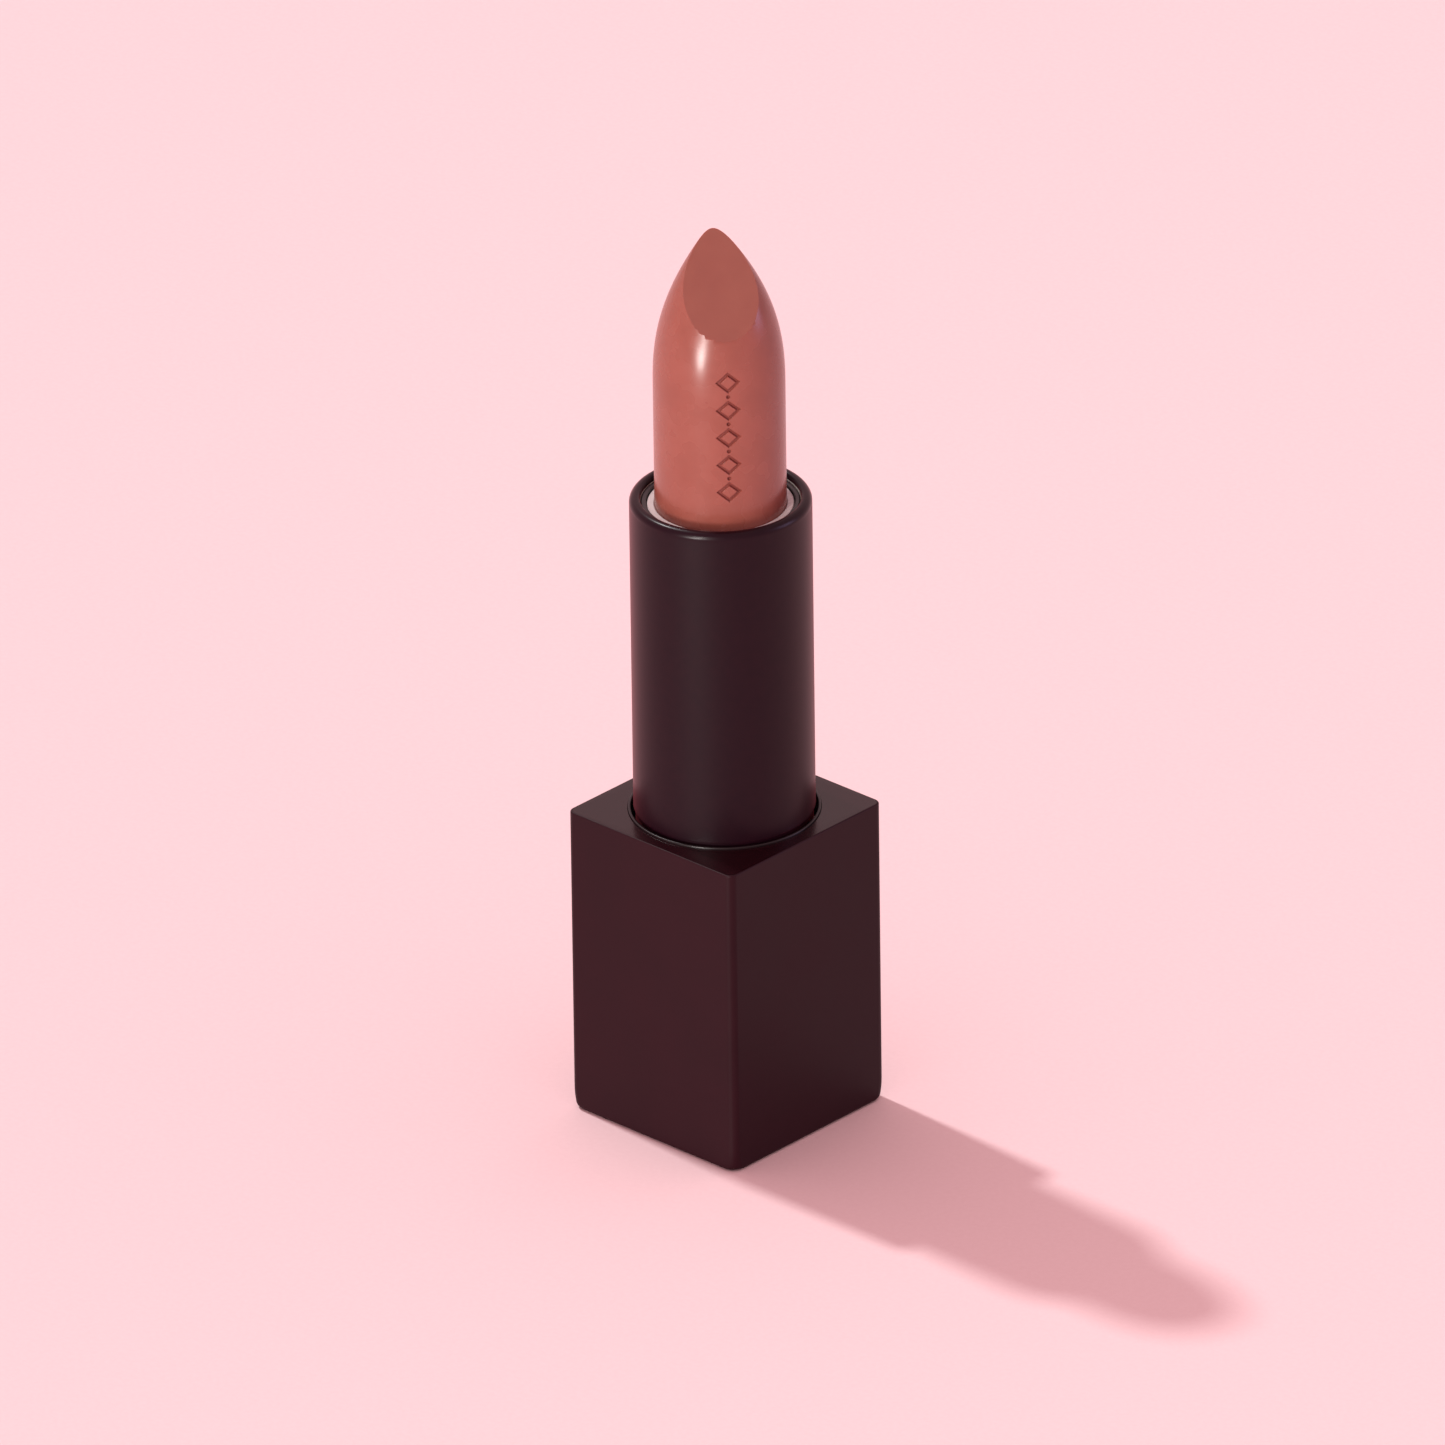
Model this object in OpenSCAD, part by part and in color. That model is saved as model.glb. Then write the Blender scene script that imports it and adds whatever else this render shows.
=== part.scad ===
// Swivel lipstick case with its bullet fully raised.
// A slotted tube stands fixed in a square base. Round it turns a cam sleeve, pressed into the barrel.
// The cup's two lugs pass through the tube's straight slots into the cam's two helical grooves,
// so turning the barrel lifts or lowers the cup and the bullet without turning them.
// The origin is the centre of the underside and +Z is up.

/* [Base] */
// Side of the square base
base_w = 20.5; // [20.1:0.1:24]
// Height of the base
base_h = 30.6; // [30.2:0.1:33]
// Wall thickness of the base shell
base_wall = 1.1; // [0.9:0.1:1.2]
// Thickness of the deck at the base's top
deck_t = 1.2; // [1:0.1:1.5]
// Radius on the base's upright edges
upright_r = 0.8; // [0.2:0.05:1]
// Radius on the base's foot edges
foot_edge_r = 0.5; // [0.3:0.1:1]
// Bevel on the base's top edges
top_bevel = 0.12; // [0.05:0.01:0.3]

/* [Barrel] */
// Outer radius of the barrel
barrel_r = 8.37; // [8.36:0.01:8.45]
// Length of barrel that stands out of the base
barrel_out = 31.9; // [31.5:0.1:34]
// Radius of the opening in the barrel's rim
rim_bore_r = 7.37; // [7.35:0.01:7.4]
// Outer rounding of the barrel's rim
rim_round = 0.65; // [0.3:0.05:0.65]
// Rounding of the opening in the barrel's rim
mouth_round = 0.3; // [0.1:0.05:0.3]
// Depth by which the barrel is relieved where it passes the collar ring
barrel_relief = 0.18; // [0.16:0.01:0.2]
// Width of the collar ring in the deck
collar_w = 0.28; // [0.2:0.02:0.28]
// Height by which the collar ring stands above the deck
collar_proud = 0.2; // [0.1:0.05:0.4]

/* [Mechanism] */
// Travel of the bullet
stroke = 28; // [20:1:28]
// Rise of the helical grooves in one turn
lead = 16; // [14:1:20]
// Diameter of the cup's two lugs
lug_d = 1.2; // [1:0.1:1.4]
// Clearance between a lug and the groove or slot that it runs in
lug_gap = 0.07; // [0.05:0.01:0.1]
// Outer radius of the slotted inner body
tube_r = 7.29; // [7.27:0.01:7.3]
// Inner radius of the slotted inner body
tube_bore_r = 6.81; // [6.79:0.01:6.82]

/* [Carrier cup] */
// Outer radius of the cup
cup_r = 6.74; // [6.7:0.01:6.74]
// Depth of the cup from lip to underside
cup_h = 10.9; // [10:0.1:10.9]
// Distance of the cup's lip below the barrel's rim, with the bullet raised
cup_below_rim = 0.8; // [0.8:0.1:1]

/* [Bullet] */
// Radius of the bullet
bullet_r = 6.05; // [6:0.01:6.05]
// Height of the raised bullet's round part above the barrel's rim
shaft_out = 11.6; // [10:0.1:14]
// Length of the pointed nose before its face is cut
nose_h = 14.5; // [12:0.1:15]
// Distance by which the nose's point leans away from the face
nose_lean = 2.7; // [2:0.1:3]
// Direction of the slanted face round the Z axis
face_turn = 51; // [0:1:90]
// Tilt of the slanted face from horizontal
face_tilt = 42.6; // [35:0.1:50]
// Depth of the face's cut below the uncut point
face_depth = 0.6; // [0.4:0.05:1]

/* [Hidden] */
$fn = 96;

// Clearances and thin gaps
run_gap = 0.05; // a running fit's radial clearance
glue_gap = 0.05; // between parts that are glued or pushed together
eps = 0.01; // overshoot of a cutter past a face

// Heights
deck_z = base_h - deck_t;
rim_z = base_h + barrel_out;
lip_t = 0.6; // thickness of the barrel's rolled rim
shell_foot = deck_z; // the barrel stands on the cam sleeve's shoulder at this height
relief_top = base_h + collar_proud + 0.2; // the barrel is relieved below this height
cam_foot = 19.3;
flange_top = 19;
flange_t = 0.7;
foot_z = 9.2; // underside of the inner body's fluted foot
plate_t = 1.2;
pad_t = 0.8;
weight_t = 5.8;
insert_foot = plate_t + pad_t + weight_t + glue_gap;
cup_floor = 0.9;
cup_top = rim_z - cup_below_rim;
cup_foot = cup_top - cup_h;
lug_up = 1.1; // lug axis above the cup's underside
lug_z = cup_foot + lug_up;
lug_low_z = lug_z - stroke;
tube_below_rim = 0.55; // the tube's mouth sits this far below the barrel's rim
tube_top = rim_z - tube_below_rim;
tube_thick_top = 22; // the tube's wall is thick below this height
tube_floor = 1; // wall between the foot's core and the tube

// Radii
cavity = base_w / 2 - base_wall; // half the width of the base's cavity
collar_bore_r = 8.6;
collar_r = collar_bore_r + collar_w;
deck_bore_r = 8.9;
barrel_bore_r = 8.03;
cam_foot_r = 8.2;
cam_bore_r = tube_r + run_gap;
groove_r = 7.78; // floor of the helical grooves
lug_tip_gap = 0.08;
lug_tip_r = groove_r - lug_tip_gap;
flange_r = 8.2;
flute_r = 6; // crest of the foot's flutes
socket_r = 6.02;
foot_bore_r = 4.6;
thick_bore_r = 5.2;
cup_bore_r = bullet_r;
label_r = 6.5;
label_t = 0.1;
label_up = 0.05; // the label lies this far above the underside

// Corner rounding of the plain moulded pieces
cavity_round = 0.5;
plate_rim_round = 0.4;
insert_round = 0.6;

// Snap bead of the cam and the inner body's groove for it
bead_r = 7.1;
bead_low = 19.85;
bead_high = 20.35;
bead_groove_r = 7;
bead_play = 0.1;

// Brake ring, with its section's radius and its groove in the inner body
ring_mid_r = 7;
ring_z = 21.3;
ring_t = 0.3;
ring_groove_r = 6.68;
ring_groove_h = 0.7;

// Helical grooves: a sector of this angle, turned as it rises, leaves the lug its clearance
lug_run = lug_d / 2 + lug_gap;
helix_r = (cam_bore_r + groove_r) / 2;
helix_rise = lead / (2 * PI);
sector_deg = 2 * lug_run * sqrt(pow(helix_rise, 2) + pow(helix_r, 2)) / (helix_rise * helix_r) * 180 / PI;
sector_steps = 4;
helix_h = stroke + 2 * lug_run;
helix_turn = 360 * helix_h / lead;
helix_step = 6; // degrees to a slice
helix_fn = 12; // keeps the twisted sector's edges from being split further

// Nose of the bullet: its radius and its centre's lean are powers of the height
nose_start = rim_z + shaft_out;
nose_round = 2.3;
nose_taper = 0.84;
lean_power = 5;
nose_sides = 60;
nose_rings = 18;
nose_inset = 0.01; // the nose starts this far inside the round part's radius
nose_root = 1; // depth to which the nose's mesh runs down into the round part
tip_crowding = 1.6; // above 1, the rings lie closer together towards the tip

// A square of the given half width with rounded corners
module round_square(half, r) {
    square([2 * half, 2 * (half - r)], center = true);
    square([2 * (half - r), 2 * half], center = true);
    for (x = [-1, 1], y = [-1, 1])
        translate([x * (half - r), y * (half - r)]) circle(r = r);
}

// A rectangle from (x0, z0) to (x1, z1) with rounded corners
module round_strip(x0, z0, x1, z1, r) {
    translate([x0, z0 + r]) square([x1 - x0, z1 - z0 - 2 * r]);
    translate([x0 + r, z0]) square([x1 - x0 - 2 * r, z1 - z0]);
    for (x = [x0 + r, x1 - r], z = [z0 + r, z1 - r])
        translate([x, z]) circle(r = r);
}

// A ring of rectangular section
module ring(r_in, r_out, z0, z1) {
    translate([0, 0, z0])
        difference() {
            cylinder(r = r_out, h = z1 - z0);
            translate([0, 0, -eps]) cylinder(r = r_in, h = z1 - z0 + 2 * eps);
        }
}

// Upright outline of the base, round at the foot and bevelled at the top
module base_outline() {
    half = base_w / 2;
    polygon([
        [-half, foot_edge_r], [half, foot_edge_r],
        [half, base_h - top_bevel], [half - top_bevel, base_h],
        [-half + top_bevel, base_h], [-half, base_h - top_bevel]
    ]);
    translate([-half + foot_edge_r, 0]) square([base_w - 2 * foot_edge_r, foot_edge_r + eps]);
    for (x = [-1, 1])
        translate([x * (half - foot_edge_r), foot_edge_r]) circle(r = foot_edge_r);
}

module base_block() {
    intersection() {
        linear_extrude(height = base_h) round_square(base_w / 2, upright_r);
        for (turn = [0, 90])
            rotate([90, 0, turn])
                translate([0, 0, -base_w]) linear_extrude(height = 2 * base_w) base_outline();
    }
}

module base_shell() {
    color("#3a1e23")
        difference() {
            base_block();
            translate([0, 0, -eps]) linear_extrude(height = deck_z + eps) round_square(cavity, cavity_round);
            translate([0, 0, deck_z - eps]) cylinder(r = deck_bore_r, h = deck_t + 2 * eps);
        }
}

module collar_ring() {
    collar_edge = 0.35; // its edges' radius as a share of its width
    color("#241317")
        rotate_extrude()
            round_strip(collar_bore_r, deck_z, collar_r, base_h + collar_proud, collar_edge * collar_w);
}

// Moulded core: a wide bore for the cam sleeve's foot over a socket for the fluted foot
module base_insert() {
    low = insert_foot;
    high = deck_z - glue_gap;
    core_r = 1.2;
    core_at = 7.3;
    core_h = 20;
    vent_r = 1.5;
    color("#2b2628")
        difference() {
            translate([0, 0, low])
                linear_extrude(height = high - low) round_square(cavity - glue_gap, insert_round);
            translate([0, 0, flange_top - flange_t]) cylinder(r = collar_bore_r, h = base_h);
            translate([0, 0, foot_z - glue_gap]) cylinder(r = socket_r, h = base_h);
            translate([0, 0, low - eps]) cylinder(r = vent_r, h = base_h);
            for (x = [-1, 1], y = [-1, 1])
                translate([x * core_at, y * core_at, low - eps]) cylinder(r = core_r, h = core_h);
        }
}

module base_weight() {
    half = 8;
    corner_r = 1.5;
    color("#9a9a9e")
        translate([0, 0, plate_t + pad_t]) linear_extrude(height = weight_t) round_square(half, corner_r);
}

module weight_pad() {
    half = 7;
    corner_r = 1;
    color("#77777a")
        translate([0, 0, plate_t]) linear_extrude(height = pad_t) round_square(half, corner_r);
}

// Closing plate with an upright rim round the weight and a shallow recess for the label
module bottom_plate() {
    rim_t = 0.8;
    rim_h = 3.8;
    recess_r = label_r + 0.1;
    recess_t = label_t + label_up;
    half = cavity - glue_gap;
    color("#2f1a1e")
        difference() {
            linear_extrude(height = plate_t + rim_h) round_square(half, cavity_round);
            translate([0, 0, plate_t])
                linear_extrude(height = rim_h + eps) round_square(half - rim_t, plate_rim_round);
            translate([0, 0, -eps]) cylinder(r = recess_r, h = recess_t + eps);
        }
}

module shade_label() {
    color("#d9d4d0")
        translate([0, 0, label_up]) cylinder(r = label_r, h = label_t);
}

// Straight slot for one lug, with round ends
module slot() {
    reach = tube_r + 2;
    for (z = [lug_low_z, lug_z])
        translate([0, 0, z]) rotate([0, 90, 0]) cylinder(r = lug_run, h = reach);
    translate([0, -lug_run, lug_low_z]) cube([reach, 2 * lug_run, stroke]);
}

// Fluted foot that bites into the base insert
module fluted_foot() {
    flutes = 24;
    flute_depth = 0.35;
    translate([0, 0, foot_z])
        linear_extrude(height = flange_top - flange_t - foot_z)
            polygon([for (i = [0 : 2 * flutes - 1])
                let (r = flute_r - flute_depth * (i % 2), a = i * 180 / flutes) [r * cos(a), r * sin(a)]]);
}

module inner_body() {
    strip_h = 1; // height of the strip that carries the rounding of the tube's mouth
    tube_round = 0.12;
    color("#241a1c")
        difference() {
            union() {
                rotate_extrude() {
                    translate([0, flange_top - flange_t]) square([tube_r, tube_top - flange_top]);
                    round_strip(tube_bore_r, tube_top - strip_h, tube_r, tube_top, tube_round);
                }
                translate([0, 0, flange_top - flange_t]) cylinder(r = flange_r, h = flange_t);
                fluted_foot();
            }
            translate([0, 0, tube_thick_top]) cylinder(r = tube_bore_r, h = rim_z);
            translate([0, 0, flange_top + tube_floor]) cylinder(r = thick_bore_r, h = rim_z);
            translate([0, 0, foot_z - eps]) cylinder(r = foot_bore_r, h = flange_top - foot_z);
            ring(bead_groove_r, tube_r + 1, bead_low - bead_play, bead_high + bead_play);
            ring(ring_groove_r, tube_r + 1, ring_z - ring_groove_h / 2, ring_z + ring_groove_h / 2);
            for (turn = [0, 180])
                rotate([0, 0, turn]) slot();
        }
}

module brake_ring() {
    color("#b9b4ae")
        rotate_extrude() translate([ring_mid_r, ring_z]) circle(r = ring_t);
}

// Section of the shell: a wall with a rolled rim, thinner where it passes the collar ring
module barrel_section() {
    corner_r = barrel_r - rim_round;
    round_z = rim_z - rim_round;
    difference() {
        union() {
            translate([rim_bore_r, relief_top]) square([barrel_r - rim_bore_r, round_z - relief_top]);
            translate([rim_bore_r, round_z]) square([corner_r - rim_bore_r, rim_round - mouth_round]);
            translate([rim_bore_r + mouth_round, round_z])
                square([corner_r - rim_bore_r - mouth_round, rim_round]);
            translate([rim_bore_r + mouth_round, rim_z - mouth_round]) circle(r = mouth_round);
            translate([corner_r, round_z])
                intersection() {
                    circle(r = rim_round);
                    square(rim_round);
                }
        }
        translate([0, relief_top - eps]) square([barrel_bore_r, rim_z - lip_t - relief_top + eps]);
    }
    translate([barrel_bore_r, shell_foot])
        square([barrel_r - barrel_relief - barrel_bore_r, round_z - shell_foot]);
}

module barrel_shell() {
    color("#2d181d") rotate_extrude() barrel_section();
}

// Sector of the cam's wall that one helical groove takes out
module groove_sector() {
    overcut = 0.2;
    inside = cam_bore_r - overcut;
    arc = [for (i = [0 : sector_steps]) sector_deg * (i / sector_steps - 0.5)];
    back = [for (i = [0 : sector_steps]) sector_deg * (0.5 - i / sector_steps)];
    polygon(concat(
        [for (a = arc) [groove_r * cos(a), groove_r * sin(a)]],
        [for (a = back) [inside * cos(a), inside * sin(a)]]
    ));
}

module helical_groove() {
    steps = ceil(helix_turn / helix_step);
    translate([0, 0, lug_low_z - lug_run])
        rotate([0, 0, -360 * (stroke + lug_run) / lead])
            linear_extrude(height = helix_h, twist = -helix_turn, slices = steps, $fn = helix_fn)
                groove_sector();
}

module cam_sleeve() {
    color("#c9c3bd")
        difference() {
            union() {
                ring(cam_bore_r, barrel_bore_r, cam_foot, rim_z - lip_t);
                ring(cam_bore_r, cam_foot_r, cam_foot, shell_foot);
                ring(bead_r, cam_bore_r + eps, bead_low, bead_high);
            }
            for (turn = [0, 180])
                rotate([0, 0, turn]) helical_groove();
        }
}

// Cup with a chamfered lip, a vented floor and the two lugs
module carrier_cup() {
    vent_r = 2;
    lip_h = 2; // height of the strip that carries the lip's rounding
    lip_round = 0.1;
    chamfer = 0.1;
    color("#cfc6c6")
        difference() {
            union() {
                rotate_extrude() {
                    round_strip(cup_bore_r, cup_top - lip_h, cup_r, cup_top, lip_round);
                    translate([0, cup_foot]) square([cup_r, cup_h - lip_round]);
                }
                translate([-lug_tip_r, 0, lug_z]) rotate([0, 90, 0]) cylinder(d = lug_d, h = 2 * lug_tip_r);
            }
            translate([0, 0, cup_foot + cup_floor]) cylinder(r = cup_bore_r, h = cup_h);
            translate([0, 0, cup_foot - eps]) cylinder(r = vent_r, h = cup_h);
            translate([0, 0, cup_top - chamfer])
                cylinder(r1 = cup_bore_r, r2 = cup_bore_r + chamfer + eps, h = chamfer + eps);
        }
}

function nose_radius(t) = (bullet_r - nose_inset) * pow(1 - pow(max(t, 0), nose_round), nose_taper);
function nose_centre(t) = nose_lean * pow(max(t, 0), lean_power);
function ring_height(i) = i < 0 ? -nose_root / nose_h : 1 - pow(1 - i / nose_rings, tip_crowding);
function ring_points(t) = [for (k = [0 : nose_sides - 1])
    let (a = k * 360 / nose_sides)
        [nose_radius(t) * cos(a), nose_centre(t) + nose_radius(t) * sin(a), nose_start + t * nose_h]];

// Leaning nose, as rings of points that close on one tip
module nose() {
    rings = [for (i = [-1 : nose_rings - 1]) each ring_points(ring_height(i))];
    tip = nose_sides * (nose_rings + 1);
    last = tip - nose_sides;
    walls = [for (i = [0 : nose_rings - 1], k = [0 : nose_sides - 1])
        let (a = i * nose_sides + k, b = i * nose_sides + (k + 1) % nose_sides)
            each [[a, a + nose_sides, b], [b, a + nose_sides, b + nose_sides]]];
    crown = [for (k = [0 : nose_sides - 1]) [last + k, tip, last + (k + 1) % nose_sides]];
    polyhedron(
        points = concat(rings, [[0, nose_lean, nose_start + nose_h]]),
        faces = concat([[for (k = [0 : nose_sides - 1]) k]], walls, crown)
    );
}

module bullet() {
    foot = cup_foot + cup_floor;
    cut = 40; // side of the cube that cuts the face
    color("#b5635a")
        rotate([0, 0, face_turn])
            difference() {
                union() {
                    translate([0, 0, foot]) cylinder(r = bullet_r, h = nose_start - foot);
                    nose();
                }
                translate([0, nose_lean, nose_start + nose_h])
                    rotate([face_tilt, 0, 0])
                        translate([-cut / 2, -cut / 2, -face_depth]) cube(cut);
            }
}

base_shell();
collar_ring();
base_insert();
base_weight();
weight_pad();
bottom_plate();
shade_label();
inner_body();
brake_ring();
barrel_shell();
cam_sleeve();
carrier_cup();
bullet();
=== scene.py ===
"""Looks of a swivel lipstick case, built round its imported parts.

The case stands on its square base with the bullet raised. The skins that show are modelled here
with fine edges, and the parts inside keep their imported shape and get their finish. Meshes are
shaped in millimetres and turned to metres when they are done.
"""

import logging
import math
from dataclasses import dataclass
from enum import Enum
from typing import Callable, Iterable, Sequence

import bmesh
import bpy
from mathutils import Matrix, Vector


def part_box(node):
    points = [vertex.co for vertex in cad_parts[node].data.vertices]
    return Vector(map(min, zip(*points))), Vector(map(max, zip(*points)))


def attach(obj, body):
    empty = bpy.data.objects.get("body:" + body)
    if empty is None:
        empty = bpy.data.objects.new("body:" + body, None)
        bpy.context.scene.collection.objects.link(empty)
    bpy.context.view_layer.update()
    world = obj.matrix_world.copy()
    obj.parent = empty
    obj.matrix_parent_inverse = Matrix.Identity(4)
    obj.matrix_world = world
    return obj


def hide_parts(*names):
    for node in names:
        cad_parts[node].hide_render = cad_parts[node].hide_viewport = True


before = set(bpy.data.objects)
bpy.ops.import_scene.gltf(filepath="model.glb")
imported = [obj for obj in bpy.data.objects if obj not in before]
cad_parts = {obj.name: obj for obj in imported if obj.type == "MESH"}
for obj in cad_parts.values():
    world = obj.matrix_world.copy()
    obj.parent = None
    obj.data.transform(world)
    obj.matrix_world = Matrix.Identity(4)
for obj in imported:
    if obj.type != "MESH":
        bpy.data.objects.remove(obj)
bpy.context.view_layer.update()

LOG = logging.getLogger("lipstick")

MM = 0.001
FULL_TURN = 2 * math.pi
LATHE_STEPS = 192
ARC_STEPS = 8
WELD_MM = 0.0005
RING_TOLERANCE_MM = 0.002
SHARP_EDGE = math.radians(38)

# Nearly all of a noise's values lie in the first band; the second is narrower, for clearer mottling
NOISE_LOW, NOISE_HIGH = 0.3, 0.7
MOTTLE_LOW, MOTTLE_HIGH = 0.35, 0.65

Point = tuple[float, float]
Colour = tuple[float, float, float, float]


class Body(Enum):
    """The rigid bodies that the pieces ride on."""

    BASE = "base"
    BARREL = "barrel"
    CARRIER = "carrier"


class Slot(Enum):
    """The record's material slots for the pieces that are modelled here."""

    SOFT_TOUCH = "soft_touch"
    TRIM = "trim"
    BARREL = "barrel_lacquer"
    BULLET = "bullet_wax"


# ---------------------------------------------------------------- colour and nodes


def srgb(code: str) -> Colour:
    """Turns a hex colour such as "#d9b3ab" to linear light.

    Args:
        code: The sRGB colour, as # and six hex digits.

    Returns:
        Linear red, green and blue, and an alpha of 1.
    """
    parts = [int(code[i:i + 2], 16) / 255 for i in (1, 3, 5)]
    red, green, blue = (p / 12.92 if p <= 0.04045 else ((p + 0.055) / 1.055) ** 2.4 for p in parts)
    return red, green, blue, 1.0


def add_node(
    tree: bpy.types.NodeTree,
    kind: str,
    settings: dict[str | int, object] | None = None,
    links: dict[str | int, tuple[bpy.types.Node, str | int]] | None = None,
) -> bpy.types.Node:
    """Adds a node, sets its values and joins its inputs.

    Args:
        tree: The node tree that takes the node.
        kind: The node's type name.
        settings: Values by the name or number of an input, or by the name of a property.
        links: For an input's name or number, the node and the output that feed it.

    Returns:
        The new node.
    """
    node = tree.nodes.new(kind)
    for name, value in (settings or {}).items():
        if isinstance(name, int) or name in node.inputs:
            node.inputs[name].default_value = value
        else:
            setattr(node, name, value)
    for name, (source, output) in (links or {}).items():
        tree.links.new(source.outputs[output], node.inputs[name])
    return node


def new_material(name: str) -> tuple[bpy.types.Material, bpy.types.NodeTree, bpy.types.Node]:
    """Starts an empty node material.

    Args:
        name: The material's name.

    Returns:
        The material, its tree, and its Principled shader, already joined to the output.
    """
    material = bpy.data.materials.new(name)
    material.use_nodes = True
    tree = material.node_tree
    tree.nodes.clear()
    shader = add_node(tree, "ShaderNodeBsdfPrincipled")
    add_node(tree, "ShaderNodeOutputMaterial", links={"Surface": (shader, "BSDF")})
    return material, tree, shader


def join_finish(
    tree: bpy.types.NodeTree,
    shader: bpy.types.Node,
    colour: bpy.types.Node,
    rough: bpy.types.Node,
    bump: bpy.types.Node,
) -> None:
    """Feeds a shader its colour, its roughness and its bumps.

    Args:
        tree: The material's node tree.
        shader: Its Principled shader.
        colour: The node whose Color output is the base colour.
        rough: The node whose first output is the roughness.
        bump: The node whose Normal output carries the bumps.
    """
    tree.links.new(colour.outputs["Color"], shader.inputs["Base Color"])
    tree.links.new(rough.outputs[0], shader.inputs["Roughness"])
    tree.links.new(bump.outputs["Normal"], shader.inputs["Normal"])


def noise_scale(size_mm: float) -> float:
    """Works out a noise's Scale on Object coordinates.

    Args:
        size_mm: How far apart the noise's bumps are.

    Returns:
        The Scale.
    """
    return 1 / (size_mm * MM)


# ---------------------------------------------------------------- finishes


@dataclass(frozen=True)
class Moulded:
    """A smooth or grained moulded surface: a mottled colour, a roughness that varies, a fine grain.

    It serves ABS, acetal, silicone, foam, paper and zinc plate, each with its own numbers. Light
    travels bleed_mm inside, times bleed_ratio for red, green and blue.
    """

    name: str
    shade: str
    tint: str
    rough_low: float
    rough_high: float
    grain_mm: float
    grain_depth_mm: float
    mottle_mm: float = 3.0
    metallic: float = 0.0
    specular: float = 0.5
    subsurface: float = 0.0
    bleed_mm: float = 0.3
    bleed_ratio: tuple[float, float, float] = (1.0, 0.9, 0.8)

    def build(self) -> bpy.types.Material:
        """Makes the material.

        Returns:
            The finished material.
        """
        material, tree, shader = new_material(self.name)
        coords = add_node(tree, "ShaderNodeTexCoord")
        mottle = add_node(
            tree, "ShaderNodeTexNoise",
            {"Scale": noise_scale(self.mottle_mm), "Detail": 4.0, "Roughness": 0.55},
            {"Vector": (coords, "Object")},
        )
        colour = add_node(tree, "ShaderNodeValToRGB", links={"Fac": (mottle, "Fac")})
        set_ramp(colour, [(MOTTLE_LOW, self.shade), (MOTTLE_HIGH, self.tint)])
        rough = add_node(
            tree, "ShaderNodeMapRange",
            {
                "From Min": NOISE_LOW, "From Max": NOISE_HIGH,
                "To Min": self.rough_low, "To Max": self.rough_high,
            },
            {"Value": (mottle, "Fac")},
        )
        grain = add_node(
            tree, "ShaderNodeTexNoise",
            {"Scale": noise_scale(self.grain_mm), "Detail": 2.0},
            {"Vector": (coords, "Object")},
        )
        bump = add_node(
            tree, "ShaderNodeBump",
            {"Strength": 1.0, "Distance": self.grain_depth_mm * MM},
            {"Height": (grain, "Fac")},
        )
        shader.inputs["Metallic"].default_value = self.metallic
        shader.inputs["Specular IOR Level"].default_value = self.specular
        shader.inputs["Subsurface Weight"].default_value = self.subsurface
        shader.inputs["Subsurface Radius"].default_value = self.bleed_ratio
        shader.inputs["Subsurface Scale"].default_value = self.bleed_mm * MM
        join_finish(tree, shader, colour, rough, bump)
        return material


def set_ramp(node: bpy.types.Node, stops: Sequence[tuple[float, str]]) -> None:
    """Sets a colour ramp's stops.

    Args:
        node: The ColorRamp node.
        stops: Positions from 0 to 1 with their hex colours, lowest first.
    """
    ramp = node.color_ramp
    while len(ramp.elements) < len(stops):
        ramp.elements.new(1.0)
    for element, (position, code) in zip(ramp.elements, stops):
        element.position = position
        element.color = srgb(code)


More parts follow.
